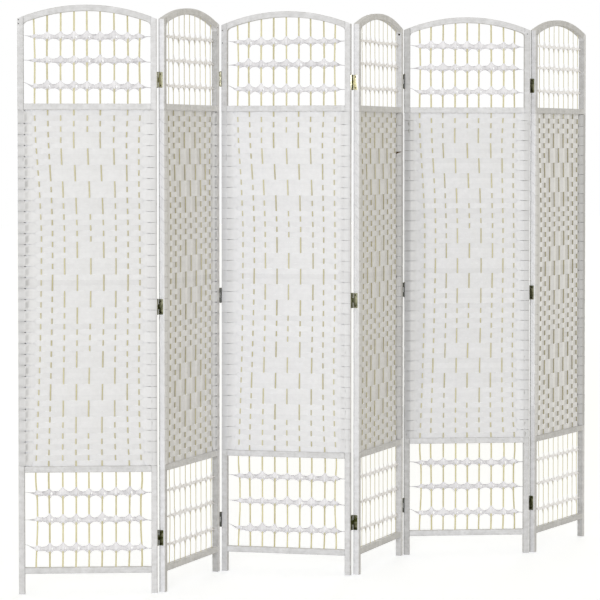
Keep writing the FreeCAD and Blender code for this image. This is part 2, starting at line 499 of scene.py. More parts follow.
@dataclass(frozen=True)
class BrassFinish(Finish):
    """Antique brass: dark patina with the metal showing where it is rubbed, and grey where it has gone dull."""

    rubbed: Colour
    patina: Colour
    dull: Colour = (0.14, 0.139, 0.13)

    def shader(self, board: NodeBoard) -> bpy.types.NodeSocket:
        """Wires the finish from Object coordinates and the piece's own tone.

        Args:
            board: the material's board.

        Returns:
            The shader's socket.
        """
        place, tone = board.own_place(), board.own_tone()
        cloud = board.math("MULTIPLY", board.noise(place, 90.0, 4.0), 0.75)
        both = board.math("ADD", cloud, board.math("MULTIPLY", board.noise(place, 900.0), 0.25))
        cover = board.math("ADD", board.math("SUBTRACT", both, 0.5), tone, clamp=True)
        faded = board.math("SUBTRACT", tone, 1.5, clamp=True)
        bump = board.add("Bump", {"Height": both, "Strength": 0.3, "Distance": 0.0002})
        return board.add("BsdfPrincipled", {
            "Base Color": board.mix(faded, board.mix(cover, self.rubbed, self.patina), self.dull),
            "Metallic": 1.0,
            "Roughness": board.math("ADD", board.math("MULTIPLY", cover, 0.25), 0.3),
            "Normal": bump.outputs["Normal"],
        }).outputs["BSDF"]


@dataclass(frozen=True)
class FloorFinish(Finish):
    """A pale matt floor that is seen as white outside the shadow."""

    pale: tuple[Colour, Colour]
    glow: Colour
    lift: float

    def shader(self, board: NodeBoard) -> bpy.types.NodeSocket:
        """Wires the finish from Object coordinates.

        Args:
            board: the material's board.

        Returns:
            The shader's socket.
        """
        tint = board.mix(board.noise(board.own_place(), 0.8), *self.pale)
        matt = board.add("BsdfDiffuse", {"Color": tint})
        lift = board.math("MULTIPLY", board.white_seen(), self.lift)
        glow = board.add("Emission", {"Color": self.glow, "Strength": lift})
        return board.add("AddShader", {0: matt.outputs["BSDF"], 1: glow.outputs["Emission"]}).outputs["Shader"]


@dataclass(frozen=True)
class Panel:
    """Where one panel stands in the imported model, and how its rods have been drawn aside by the weaving."""

    number: int
    place: Matrix
    wander: tuple[float, ...]

    WIDTH = 0.400
    POST = 0.018
    DEPTH = 0.018
    RAIL = 0.018
    BOTTOM_RAIL = 0.059
    LOWER_RAIL = 0.352
    WEAVE_LOW = 0.370
    WEAVE_HIGH = 1.398
    UPPER_RAIL = 1.398
    ARCH_CENTRE = 1.180
    ARCH_OUTER = 0.520
    ARCH_INNER = 0.502
    RODS = 9
    FIRST_ROD = 0.048
    ROD_PITCH = 0.038
    ROD_WIDTH = 0.0045
    ROD_DEPTH = 0.0022
    ROWS_HIGH = (1.4683, 1.5380, 1.6077)
    ROWS_LOW = (0.1359, 0.2145, 0.2931)
    EDGE_FACE = 0.0012
    # How far the rods lean, in millimetres: the outermost toward the posts, the next ones with them, and all aside.
    LEAN_HEIGHTS = (0.08, 0.11, 0.19, 0.27, 0.34, 0.43, 0.54, 0.67, 0.80, 0.93, 1.05, 1.18, 1.31, 1.40, 1.55, 1.66)
    OUTER_LEAN = (0, 0, -4, -3.5, 2, -3.5, -6.5, -9, -9, -9.5, -10.5, -9, -4.5, -1, -3, 0)
    NEXT_LEAN = (0, 1, 1, 2, 3.5, 0, -3, -4.5, -5, -5.5, -5.5, -5, -2, 1, 2.5, 1)
    NEXT_SHARES = (0.0, 0.12, 0.4, 1.0)
    BOW = (2, 3, 3, 3, 3, 1.5, 2.5, 4.5, 7, 8.3, 8, 4, -1, 0, 0, 0)
    # Panel, whether on its left post, whether at the back, and the tone that the next panel's shade adds.
    SHADED_CORNERS = ((1, False, False, 0.16), (2, True, True, 0.75), (3, False, False, 0.15), (4, True, True, 0.25),
                      (4, False, False, 0.2), (5, False, False, 0.06), (6, True, True, 0.85))
    CORNER_INWARD = 0.0026
    CORNER_OUTWARD = 0.0068

    @classmethod
    def at(cls, number: int) -> "Panel":
        """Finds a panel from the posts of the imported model.

        Args:
            number: the panel's number, from 1.

        Returns:
            The panel.
        """
        left, right = (sum(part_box(f"panel_{number}_{side}_post"), Vector()) / 2 for side in ("left", "right"))
        run = Vector((right.x - left.x, right.y - left.y, 0)).normalized()
        corner = Vector((left.x, left.y, 0)) - run * (cls.POST / 2)
        place = Matrix.Translation(corner) @ Matrix.Rotation(math.atan2(run.y, run.x), 4, "Z")
        dice = random.Random(100 + number)
        return cls(number, place, tuple(dice.uniform(0, 6.28) for _ in range(cls.RODS)))

    @property
    def body(self) -> str:
        """Name of the body that the panel's pieces ride on."""
        return f"panel_{self.number}"

    @classmethod
    def rod_place(cls, index: int) -> float:
        """Distance of a straight rod from the panel's left edge."""
        return cls.FIRST_ROD + index * cls.ROD_PITCH

    @classmethod
    def inward(cls, points: np.ndarray, on_left: bool) -> np.ndarray:
        """How far points are from the panel's left or right edge."""
        return points[:, 0] if on_left else cls.WIDTH - points[:, 0]

    @classmethod
    def woven(cls, points: np.ndarray) -> np.ndarray:
        """Which points are between the rails that hold the weave."""
        return (points[:, 2] > cls.WEAVE_LOW + 0.0002) & (points[:, 2] < cls.WEAVE_HIGH - 0.0002)

    @classmethod
    def arch_level(cls, radius: float, x: np.ndarray | float) -> np.ndarray | float:
        """Height of a circle about the arch's centre, at distances from the panel's left edge."""
        return cls.ARCH_CENTRE + np.sqrt(radius ** 2 - (x - cls.WIDTH / 2) ** 2)

    def drift(self, index: int, heights: np.ndarray) -> np.ndarray:
        """How far a rod stands aside of its straight place: drawn in by the weaving, with a common bow.

        Args:
            index: the rod, 0 to 8.
            heights: heights above the floor.

        Returns:
            The sideways shift at each height.
        """
        tables = (self.OUTER_LEAN, self.NEXT_LEAN, self.BOW)
        outer, second, bow = (np.interp(heights, self.LEAN_HEIGHTS, table) for table in tables)
        place = abs(index - 4)
        pull = outer if place == 4 else second * self.NEXT_SHARES[place]
        sway = np.sin(self.wander[index] + 4.5 * heights)
        return 0.001 * (math.copysign(1, index - 4) * pull + bow + sway)

    def corner_shade(self, points: np.ndarray) -> np.ndarray:
        """Tone of the posts' outer corners, which the next panel shades.

        Args:
            points: rows of x, y, z in the straight panel.

        Returns:
            What to add to the tone of each point.
        """
        shade = np.zeros(len(points))
        for on_left, at_back, amount in rows_of(self.SHADED_CORNERS, self.number):
            outward = points[:, 1] if at_back else -points[:, 1]
            near = self.inward(points, on_left) < self.CORNER_INWARD
            shade += amount * (near & (outward > self.CORNER_OUTWARD))
        return shade

    def warp(self, points: np.ndarray) -> np.ndarray:
        """Shifts points of a straight panel with the rods beside them.

        Args:
            points: rows of x, y, z.

        Returns:
            The shifted points.
        """
        rods = range(self.RODS)
        marks = np.array([self.POST, *map(self.rod_place, rods), self.WIDTH - self.POST])
        still = np.zeros(len(points))
        table = np.stack([still, *(self.drift(rod, points[:, 2]) for rod in rods), still])
        cell = np.clip(np.searchsorted(marks, points[:, 0]) - 1, 0, len(marks) - 2)
        share = np.clip((points[:, 0] - marks[cell]) / (marks[cell + 1] - marks[cell]), 0, 1)
        column = np.arange(len(points))
        moved = points.copy()
        moved[:, 0] += table[cell, column] * (1 - share) + table[cell + 1, column] * share
        return moved

    def stand(self, piece: Piece, finish: bpy.types.Material, *nodes: str, slot: str | None = None) -> None:
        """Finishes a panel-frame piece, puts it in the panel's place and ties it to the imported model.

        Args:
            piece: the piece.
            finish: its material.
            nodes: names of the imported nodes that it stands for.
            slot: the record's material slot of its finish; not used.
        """
        piece.mesh.materials.append(finish)
        piece.mesh.transform(self.place)
        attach(piece.thing, self.body)
        if nodes:
            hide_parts(*nodes)
        LOG.info("%s: %d faces", piece.thing.name, len(piece.mesh.polygons))


@dataclass
class Assembly:
    """What the panels have in common of one kind: patterns that are modelled once, and copies of them."""

    patterns: dict[Hashable, Piece] = field(default_factory=dict, init=False)

    def build(self) -> None:
        """Models the patterns that every panel needs; some assemblies have none."""

    def dress(self, panel: Panel) -> None:
        """Puts the assembly's pieces in one panel."""
        raise NotImplementedError

    def clear_away(self) -> None:
        """Deletes the patterns."""
        if self.patterns:
            take(*self.patterns.values())
            bpy.ops.object.delete()


@dataclass
class TapedFrame(Assembly):
    """Posts, arch and rails: square wood wound with paper tape, each turn lapping the one before."""

    finish: bpy.types.Material
    turn: float = 0.021
    lap: float = 0.00022
    lap_rise: float = 0.05
    lap_fall: tuple[float, float] = (0.96, 0.6)
    slant: float = 0.12
    edge: float = 0.0016
    strip: float = 0.0016
    step: float = 0.0004
    corner: float = 0.0042
    cove: tuple[float, float] = (0.011, 0.0075)
    cove_cuts: tuple[float, ...] = (0.08, 0.22, 0.42, 0.68, 1.0)
    base: float = 0.235
    spread: float = 0.02
    arch_base: float = 0.285
    arch_spread: float = 0.025
    # Painted shade: the rails and posts are darker towards the floor.
    rail_dust: float = 0.06
    post_dust: float = 0.03
    dust_top: float = 1.6
    # Painted shade along the bars' rounded edges.
    outline: float = 0.12
    arch_outline: float = 0.192
    skin: float = 0.0007
    # Painted shade on whole bars, on the posts' inner faces, on their outer edge faces and on the posts under the
    # woven loops, where the next panel, the turn of a face or a loop shades them; a tone below zero is painted light.
    shades: Shades = (
        ("1_left", 0.03), ("1_right", -0.02), ("2_left", 0.09), ("3_left", 0.15), ("4_left", 0.05), ("4_cross", 0.04),
        ("5_left", 0.27), ("5_right", 0.1), ("6_left", 0.06), ("6_cross", 0.09), ("6_arch", 0.08))
    inner_faces: Shades = (("1_left", 0.3), ("2_right", 0.32), ("4_right", 0.15), ("6_right", 0.34))
    outer_faces: Shades = (("2_left", -0.24), ("4_left", -0.15))
    under_loops: Shades = (
        ("1_left", 0.3), ("1_right", 0.65), ("2_left", 0.1), ("3_left", 0.3), ("3_right", 0.3), ("5_left", 0.9),
        ("5_right", 0.65), ("6_right", 0.3))

    def levels(self, low: float, high: float) -> list[tuple[float, float]]:
        """Heights and insets of the lapped turns between two levels.

        Args:
            low: where the first turn starts.
            high: where the last turn ends.

        Returns:
            Pairs of height and inset, from low to high.
        """
        count = max(1, round((high - low) / self.turn))
        step = (high - low) / count
        rings = []
        for number in range(count):
            start = low + number * step
            rings += [(start, self.lap if number else 0.0), (low + (number + self.lap_rise) * step, 0.0),
                      (start + step * self.lap_fall[0], self.lap * self.lap_fall[1])]
        return rings + [(high, 0.0)]

    def turn_tones(self, name: str, middle: float, spread: float, rings: int) -> np.ndarray:
        """A tone for every turn of a bar, from the bar's own chance."""
        dice = random.Random(name)
        return np.array([dice.gauss(middle, spread) for _ in range(rings // 3 + 2)])

    def wound_bar(self, name: str, low: Sequence[float], high: Sequence[float], axis: int,
                  rings: Sequence[tuple[float, float]]) -> Piece:
        """A rounded bar whose cross-sections stand at given places along one axis.

        Args:
            name: the piece's name.
            low: its lowest corner.
            high: its highest corner.
            axis: the axis that it runs along.
            rings: place and inset of each cross-section, in order.

        Returns:
            The bar.
        """
        bar = Piece.block(name, low, high)
        bar.bevel(runs_along(axis), self.edge, 2)
        bar.divide(axis, len(rings) - 2)
        points, low, size = bar.points, np.array(low), np.array(high) - np.array(low)
        index = np.rint((points[:, axis] - low[axis]) / size[axis] * (len(rings) - 1)).astype(int)
        middle = low + size / 2
        places, insets = np.array(rings).T
        other = [a for a in range(3) if a != axis]
        corner = np.all((size / 2 - np.abs(points - middle))[:, other] > 0.1 * self.edge, axis=1)
        for a in other:
            points[:, a] = middle[a] + (points[:, a] - middle[a]) * (1 - insets[index] / (size[a] / 2))
        inner = (index > 0) & (index < len(rings) - 1)
        lean = self.slant * (points[:, other[0]] - middle[other[0]])
        points[:, axis] = places[index] + np.where(inner, lean * 0.5, 0)
        bar.points = points
        tones = self.turn_tones(name, self.base, self.spread, len(rings))
        # The rounded edges get painted shade.
        bar.tone = tones[(index + 1) // 3] + self.outline * corner
        return bar

    def post(self, on_left: bool) -> Piece:
        """One post: foot on the floor, top cut to the arch, reduced where the weave goes round it.

        Args:
            on_left: which post.

        Returns:
            The post.
        """
        name, start = ("left_post", 0.0) if on_left else ("right_post", Panel.WIDTH - Panel.POST)
        half = Panel.DEPTH / 2
        shoulder = Panel.arch_level(Panel.ARCH_OUTER, 0.0)
        rings = self.levels(0.0, Panel.WEAVE_LOW)
        rings += [(Panel.WEAVE_LOW + self.step, 0.0), (Panel.WEAVE_HIGH - self.step, 0.0)]
        rings += self.levels(Panel.WEAVE_HIGH, shoulder)
        bar = self.wound_bar(name, (start, -half, 0), (start + Panel.POST, half, shoulder), 2, rings)
        points = bar.points
        woven = Panel.woven(points)
        points[woven, 1] = np.clip(points[woven, 1], self.strip - half, half - self.strip)
        limits = (self.strip, 1.0) if on_left else (-1.0, Panel.WIDTH - self.strip)
        points[woven, 0] = np.clip(points[woven, 0], *limits)
        top = points[:, 2] > shoulder - TINY
        points[top, 2] = Panel.arch_level(Panel.ARCH_OUTER, points[top, 0])
        bar.points = points
        # Painted shade, darker towards the floor.
        bar.tone += self.post_dust * (1 - points[:, 2] / shoulder)
        inner = start + (self.corner if on_left else Panel.POST - self.corner)
        bar.slice(whole, [((inner, 0, 0), (1, 0, 0)), ((0, half - self.corner, 0), (0, 1, 0))])
        return bar

    def arch(self) -> Piece:
        """The bowed rail between the posts: a rounded section spun about the arch's centre.

        Returns:
            The arch.
        """
        half, ends = Panel.DEPTH / 2, (Panel.POST, Panel.WIDTH - Panel.POST)
        swing = math.asin((Panel.WIDTH / 2 - Panel.POST) / Panel.ARCH_INNER) + 0.01
        steps = 3 * round(2 * swing * Panel.ARCH_OUTER / self.turn)
        bar = Piece.block("arch", (-0.0001, -half, Panel.ARCH_INNER), (0.0001, half, Panel.ARCH_OUTER))
        bar.bevel(runs_along(0), self.edge, 2)
        with bar.editing(Pick.FACES, lambda face: face.normal.x < 0.9):
            bpy.ops.mesh.delete(type="FACE")
            bar.select(Pick.FACES, whole)
            bpy.ops.mesh.spin(steps=steps, angle=2 * swing, center=(0, 0, 0), axis=(0, 1, 0))
        x, y, z = bar.points.T
        angles, radii = np.arctan2(x, z), np.hypot(x, z)
        angles = angles - (angles.min() + angles.max()) / 2
        index = np.rint((angles + swing) / (2 * swing) * steps).astype(int)
        middle = (Panel.ARCH_INNER + Panel.ARCH_OUTER) / 2
        corner = np.maximum(np.abs(y), np.abs(radii - middle)) < half - 0.1 * self.edge
        shrink = 1 - self.lap / half * np.array([0.0, 0.3, 1.0])[index % 3]
        shift = np.array([0.0, -0.5, 0.9])[index % 3] * swing / steps
        angles = angles + np.where((index > 0) & (index < steps), shift, 0)
        radii = middle + (radii - middle) * shrink
        bar.points = np.stack([Panel.WIDTH / 2 + radii * np.sin(angles), y * shrink,
                               Panel.ARCH_CENTRE + radii * np.cos(angles)], axis=1)
        tones = self.turn_tones("arch", self.arch_base, self.arch_spread, steps)
        # The rounded edges get painted shade.
        bar.tone = tones[(index + 1) // 3] + self.arch_outline * corner
        planes = [((place, 0, 0), (way, 0, 0)) for place, way in zip(ends, (-1, 1))]
        bar.slice(whole, planes, use_fill=True, clear_outer=True)
        with bar.editing(Pick.FACES, whole):
            bpy.ops.mesh.normals_make_consistent(inside=False)
        self.round_ends(bar)
        return bar

    def round_ends(self, bar: Piece) -> None:
        """Draws the arch's underside down to the posts in a small cove.

        Args:
            bar: the arch.
        """
        reach, drop = self.cove
        steps = [Panel.POST + reach * share for share in self.cove_cuts]
        bar.slice(whole, [((x, 0, 0), (1, 0, 0)) for x in steps + [Panel.WIDTH - step for step in steps]])
        points = bar.points
        away = np.minimum(points[:, 0], Panel.WIDTH - points[:, 0]) - Panel.POST
        radii = np.hypot(points[:, 0] - Panel.WIDTH / 2, points[:, 2] - Panel.ARCH_CENTRE)
        under = np.clip((Panel.ARCH_OUTER - radii) / (Panel.ARCH_OUTER - Panel.ARCH_INNER), 0, 1)
        lack = np.clip(1 - away / reach, 0, 1)
        points[:, 2] -= drop * (1 - np.sqrt(1 - lack ** 2)) * under
        bar.points = points

    def rail(self, name: str, base: float) -> Piece:
        """One straight rail between the posts.

        Args:
            name: the piece's name.
            base: the height of its underside.

        Returns:
            The rail.
        """
        low, high = Panel.POST, Panel.WIDTH - Panel.POST
        half = Panel.DEPTH / 2
        bar = self.wound_bar(name, (low, -half, base), (high, half, base + Panel.RAIL), 0, self.levels(low, high))
        # Painted shade, darker towards the floor.
        bar.tone += self.rail_dust * (1 - base / self.dust_top)
        return bar

    def build(self) -> None:
        """Models each bar once."""
        bases = {"rail_low": Panel.BOTTOM_RAIL, "rail_mid": Panel.LOWER_RAIL, "rail_high": Panel.UPPER_RAIL}
        rails = Piece.join("cross_rails", [self.rail(name, base) for name, base in bases.items()])
        self.patterns = {"left_post": self.post(True), "right_post": self.post(False), "arch_rail": self.arch(),
                         "cross_rails": rails}
        for piece in self.patterns.values():
            piece.lay_out()
            piece.soften(50)

    def dress(self, panel: Panel) -> None:
        """Puts a taped copy of every bar in one panel.

        Args:
            panel: the panel.
        """
        for node, pattern in self.patterns.items():
            piece = pattern.copy(f"{panel.body}_{node}_taped")
            points = piece.points
            inward = panel.inward(points, node != "right_post")
            # Painted light and shade on each bar from the tables below the fields, and the next panel's shade on the
            # posts' corners.
            if node.endswith("post"):
                piece.tone += panel.corner_shade(points)
            faces = ((self.shades, 1.0), (self.inner_faces, inward > Panel.POST - self.skin),
                     (self.outer_faces, inward < Panel.EDGE_FACE), (self.under_loops, Panel.woven(points)))
            for shades, marked in faces:
                piece.tone += sum(s for name, s in shades if f"{panel.number}_{node}".startswith(name)) * marked
            panel.stand(piece, self.finish, f"{panel.body}_{node}", slot="wrapped_frame")


@dataclass
class RodSet(Assembly):
    """Nine peeled rods from the bottom rail to the arch."""

    finish: bpy.types.Material
    sides: int = 8
    cuts: int = 55
    low: float = 0.071
    seat: float = 0.006
    free_depth: float = 0.3
    free_width: float = 1.12
    woven_width: float = 0.84
    thick: tuple[float, float] = (0.92, 1.08)
    knot: float = 0.05
    tone: tuple[float, float] = (0.28, 0.46)
    # Painted light and shade on the rods: the free rods' sides lighter and the woven rods' sides darker; by panel, a
    # tone for the woven and the free rods, painted shade on the sixth panel's woven rods and painted light on the
    # even panels' free rods.
    free_rim: float = -0.12
    woven_rim: float = 0.8
    shades: tuple[float, ...] = (-0.07, 0.0, -0.07, 0.0, -0.07, 0.2)
    free_shades: tuple[float, ...] = (0.0, -0.16, 0.0, -0.16, 0.0, -0.12)

    def build(self) -> None:
        """Models one straight rod of unit height, and copies of it that reach up to the arch."""
        rod = Piece.added("rod", bpy.ops.mesh.primitive_cylinder_add, (Panel.ROD_WIDTH, Panel.ROD_DEPTH, 1),
                          vertices=self.sides, radius=0.5, depth=1, location=(0, 0, 0.5))
        rod.divide(2, self.cuts)
        rod.soften(60)
        for index in range(Panel.RODS):
            top = Panel.arch_level(Panel.ARCH_INNER, Panel.rod_place(index)) + self.seat
            piece = self.patterns[index] = rod.copy(f"rod_{index}")
            piece.points = piece.points * (1, 1, top - self.low) + (0, 0, self.low)
        self.patterns["whole"] = rod

    def dress(self, panel: Panel) -> None:
        """Puts nine rods in one panel, each leaning as the weaving has drawn it.

        Args:
            panel: the panel.
        """
        dice = random.Random(200 + panel.number)
        shade, free_shade = (table[panel.number - 1] for table in (self.shades, self.free_shades))
        pieces = []
        for index in range(Panel.RODS):
            piece = self.patterns[index].copy("rod")
            points = piece.points
            thick = dice.uniform(*self.thick)
            knots = 1 + self.knot * np.sin(points[:, 2] * dice.uniform(20, 40) + dice.uniform(0, 6))
            aside = np.abs(points[:, 0]) / (Panel.ROD_WIDTH / 2)
            free = (points[:, 2] > Panel.WEAVE_HIGH) | (points[:, 2] < Panel.WEAVE_LOW)
            points[:, :2] *= (thick * knots)[:, None]
            points[free, 1] *= self.free_depth
            points[:, 0] *= np.where(free, self.free_width, self.woven_width)
            points[:, 0] += Panel.rod_place(index) + panel.drift(index, points[:, 2])
            piece.points = points
            piece.lay_out()
            # Painted light and shade by panel and on the rods' sides.
            tone = dice.uniform(*self.tone) + np.where(free, free_shade, shade)
            piece.tone = tone + np.where(free, self.free_rim, self.woven_rim) * np.clip(aside - 0.5, 0, 1)
            pieces.append(piece)
        rods = Piece.join(f"{panel.body}_rods_peeled", pieces)
        laid = rods.mesh.uv_layers[UV_NAME].data
        laid.foreach_set("uv", read(laid, "uv", 2)[:, ::-1].ravel())
        panel.stand(rods, self.finish, f"{panel.body}_rods", slot="rod")


@dataclass
class Weave(Assembly):
    """Paper strip woven over and under the rods, row by row, returning round both posts.

    A row goes in front of a rod or behind it. Behind is the plain rule, every second rod and every second row,
    except in three diamonds, where the rods show in longer bars.
    """

    finish: bpy.types.Material
    rows: int = 65
    thickness: float = 0.0007
    snug: float = 0.998
    loop_fill: float = 0.962
    fan_fill: float = 0.997
    wrap_level: float = 0.0085
    post_end: float = 0.0188
    seam_row: int = 32
    seam_tone: float = 0.06
    diamonds: tuple[int, ...] = (5, 25, 45)
    bands: tuple[int, ...] = (1, 2, 3, 2, 1)
    band_rows: int = 3
    cell_steps: int = 6
    across: tuple[float, ...] = (-1.0, -0.4, 0.4, 1.0)
    pleat: float = 0.0005
    wave: float = 0.00008
    margin: float = 0.0003
    base: float = 0.21
    spread: float = 0.017
    # Painted shade where the strips curl at a post: on the loops' edges and at the curl's inner end.
    loop_edge: float = 0.14
    curl: float = 0.28
    curl_zone: tuple[float, float] = (0.0195, 0.025)
    late_panel: int = 5
    # Painted light and shade per panel, over the whole weave.
    tints: tuple[float, ...] = (0.0, 0.0, -0.035, 0.025, 0.025, 0.0)
    # Panel, painted highlight on a strip that passes over a rod, and painted shadow where the rod covers it.
    relief: tuple[tuple[int, float, float], ...] = ((2, 0.16, 0.1), (4, 0.03, 0.05), (6, 0.28, 0.24))
    relief_reach: float = 0.0095
    # Painted shade on the strips beside the posts, where the posts and the next panels shade them.
    # Panel, whether on its left, painted shade that is added, how far from the edge it goes and over what length it
    # fades.
    worn: tuple[tuple[int, bool, float, float, float], ...] = (
        (1, True, 0.15, 0.022, 0.006), (1, False, 0.07, 0.022, 0.006), (2, False, 0.13, 0.048, 0.006),
        (3, True, 0.34, 0.037, 0.033), (3, False, 0.06, 0.022, 0.006), (4, False, 0.28, 0.048, 0.006),
        (5, True, 0.36, 0.021, 0.006), (5, True, 0.1, 0.062, 0.016), (5, False, 0.15, 0.022, 0.006),
        (6, False, 0.35, 0.048, 0.006))

    @property
    def pitch(self) -> float:
        """Height of one row."""
        return (Panel.WEAVE_HIGH - Panel.WEAVE_LOW) / self.rows

    @property
    def swing(self) -> float:
        """How far a strip's middle stands from the rods' plane where it passes a rod."""
        return Panel.ROD_DEPTH / 2 + self.thickness / 2 + 0.0001

    @staticmethod
    def mirrored(way: Way) -> Way:
        """A strip's way from the left post, turned into one to the right post."""
        return [(Panel.WIDTH - x, y, z, half) for x, y, z, half in reversed(way)]

    def shows(self, row: int, rod: int) -> bool:
        """Whether a rod stands in front of the strip.

        Args:
            row: the row, from 1 at the top.
            rod: the rod, from 1 at the left; 0 and 10 are the posts.

        Returns:
            True if the strip goes behind.
        """
        for first in self.diamonds:
            band = (row - first) // self.band_rows
            if 0 <= band < len(self.bands) and abs(rod - 5) <= self.bands[band]:
                return (rod - 5 + self.bands[band]) % 2 == 0
        return (row + rod) % 2 == 1

    def half_loop(self, on_left: bool, behind: bool) -> Way:
        """The strip's way from the middle of a post's outer edge to the post's inner corner.

        Args:
            on_left: which post.
            behind: whether the strip goes behind the post.

        Returns:
            Places along the strip.
        """
        lift = self.pitch / 2 * (-1 if behind == on_left else 1)
        depth = self.wrap_level if behind else -self.wrap_level
        bends = ((0.0005, 0.0, 1.0), (0.0005, 0.55, 0.45), (0.0006, 0.88, 0.1), (0.0016, 1.0, 0.0),
                 (0.0024, 1.0, 0.0), (0.009, 1.0, 0.0), (0.0165, 1.0, 0.0))
        way = [(x, depth * deep, lift * high, self.pitch * self.loop_fill) for x, deep, high in bends]
        return way if on_left else self.mirrored(way)

    def edge_cell(self, turn: Turn, behind: bool, rod_shows: bool) -> Way:
        """The strip's way from the left post to the first rod, where it fans out over its neighbours.

        Args:
            turn: how it leaves the post.
            behind: whether it goes behind the post.
            rod_shows: whether it goes behind the rod.

        Returns:
            Places along the strip.
        """
        span = Panel.FIRST_ROD - self.post_end
        narrow, wide, fanned = self.pitch / 2 * self.snug, self.pitch * self.loop_fill, self.pitch * self.fan_fill
        shares = (0.0, 0.07, 0.16, 0.30, 0.43, 0.54, 0.64, 0.76)
        depths = (self.wrap_level, 0.0075, 0.0060, 0.0034, 0.0016, 0.0010, 0.0007, 0.0004)
        halves = (wide, wide, wide, (wide + fanned) / 2, fanned, fanned * 0.99, narrow * 1.6, narrow)
        if turn is Turn.CURLED and behind:
            depths = (self.wrap_level, -0.0040, -0.0036, -0.0014, 0.0006, 0.0008, 0.0007, 0.0004)
        elif turn is Turn.CURLED:
            halves = (wide * 0.985, wide * 0.89, wide * 0.87, narrow * 1.85, fanned, fanned * 0.98, *halves[6:])
        way = [(self.post_end + span * share, depth if behind else -depth, 0.0, half)
               for share, depth, half in zip(shares, depths, halves)]
        return way + [(self.post_end + span * 0.9, self.swing * (0.7 if rod_shows else -0.7), 0.0, narrow)]

    def course(self, row: int, turns: Sequence[Turn]) -> np.ndarray:
        """The whole way of one row: loop, rods, loop.

        Args:
            row: the row, from 1 at the top.
            turns: how it leaves the left and the right post.

        Returns:
            Places along the strip.
        """
        narrow = self.pitch / 2 * self.snug
        behind = [self.shows(row, rod) for rod in range(Panel.RODS + 2)]
        depths = [self.swing if hidden else -self.swing for hidden in behind[1:-1]]
        way = self.half_loop(True, behind[0]) + self.edge_cell(turns[0], behind[0], behind[1])
        for rod, (here, there) in enumerate(zip(depths, depths[1:])):
            for share in np.arange(self.cell_steps) / self.cell_steps:
                depth = here + (there - here) * ease((share - 0.14) / 0.72)
                way.append((Panel.rod_place(rod) + Panel.ROD_PITCH * share, depth, 0.0, narrow))
        way.append((Panel.rod_place(Panel.RODS - 1), depths[-1], 0.0, narrow))
        way += self.mirrored(self.edge_cell(turns[1], behind[-1], behind[-2]))
        return np.array(way + self.half_loop(False, behind[-1]))

    def sheet(self, lead: int, *turns: Turn) -> Piece:
        """Models the strips of one straight panel.

        Args:
            lead: rows by which the pattern is moved up.
            turns: how the strips leave the left and the right post.

        Returns:
            The woven sheet.
        """
        dice = random.Random(300 + lead)
        count = len(self.course(1, turns))
        pattern, step, over = Piece.ribbon("strip", count, len(self.across))
        edge = np.array(self.across)[over]
        rim = np.abs(edge) > 0.9
        strips = []
        for row in range(1, self.rows + 1):
            x, depth, lift, half = self.course(row + lead, turns)[step].T
            strip = pattern.copy("strip")
            spread = np.maximum(half / self.pitch - 0.5, 0)
            pleats = np.array([dice.gauss(0, self.pleat) for _ in self.across])[over] * spread
            wave = np.array([dice.gauss(0, self.wave) for _ in range(count)])[step]
            outermost = rim & (edge > 0) & (row == 2) | rim & (edge < 0) & (row == self.rows - 1)
            reach = edge * (half + outermost * self.pitch * spread)
            level = Panel.WEAVE_HIGH - (row - 0.5) * self.pitch + lift + wave + reach
            level = np.clip(level, Panel.WEAVE_LOW + self.margin, Panel.WEAVE_HIGH - self.margin)
            strip.points = np.stack([x, depth + pleats, level], axis=1)
            seam = self.seam_tone if row == self.seam_row else 0.0
            tone = np.full(len(x), dice.gauss(self.base, self.spread) + seam)
            for post, turn in zip((0, 10), turns):
                curl = self.curl * dice.uniform(0.5, 1.4)
                if turn is Turn.CURLED:
                    inward = x if post == 0 else Panel.WIDTH - x
                    start, end = self.curl_zone
                    # Painted shade: the loops' edges on the post are darker, and so is the inner end of each front
                    # loop, where the strip curls back.
                    tone += self.loop_edge * ((inward > Panel.EDGE_FACE) & (inward < start) & rim)
                    if not self.shows(row + lead, post):
                        tone += curl * ((inward > start) & (inward < end) & ~rim)
            strip.tone = tone
            strip.lay_out()
            strips.append(strip)
        self.patterns["strip", lead, turns] = pattern  # which goes with the other patterns at the end
        sheet = Piece.join("weave", strips)
        sheet.thicken(self.thickness)
        sheet.soften(55)
        return sheet

    def relief_tone(self, sheet: Piece, crown: float, dip: float) -> np.ndarray:
        """Painted highlights and shadows of the strips where they pass the rods.

        Args:
            sheet: the woven sheet, before it is warped.
            crown: painted highlight, how much lighter a strip is that passes over a rod, on the side that is seen.
            dip: painted shadow, how much darker it is where the rod covers it.

        Returns:
            What to add to the tone of each point.
        """
        x, y, _ = sheet.points.T
        outward = y * np.sign(read(sheet.mesh.vertex_normals, "vector", 3)[:, 1]) / self.swing
        places = np.array([Panel.rod_place(rod) for rod in range(Panel.RODS)])
        away = np.abs(x[:, None] - places).min(axis=1)
        near = np.clip(1 - away / self.relief_reach, 0, 1)
        return near * np.where(outward > 0, -crown, dip) * np.minimum(np.abs(outward), 1)

    def dress(self, panel: Panel) -> None:
        """Puts the weave in one panel; strips curl at the first panel's left and the second panel's right post.

        Args:
            panel: the panel.
        """
        turns = (Turn.CURLED if panel.number == curled else Turn.CREASED for curled in (1, 2))
        kind = (int(panel.number == self.late_panel), *turns)
        if kind not in self.patterns:
            self.patterns[kind] = self.sheet(*kind)
        sheet = self.patterns[kind].copy(f"{panel.body}_weave_strips")
        points = sheet.points
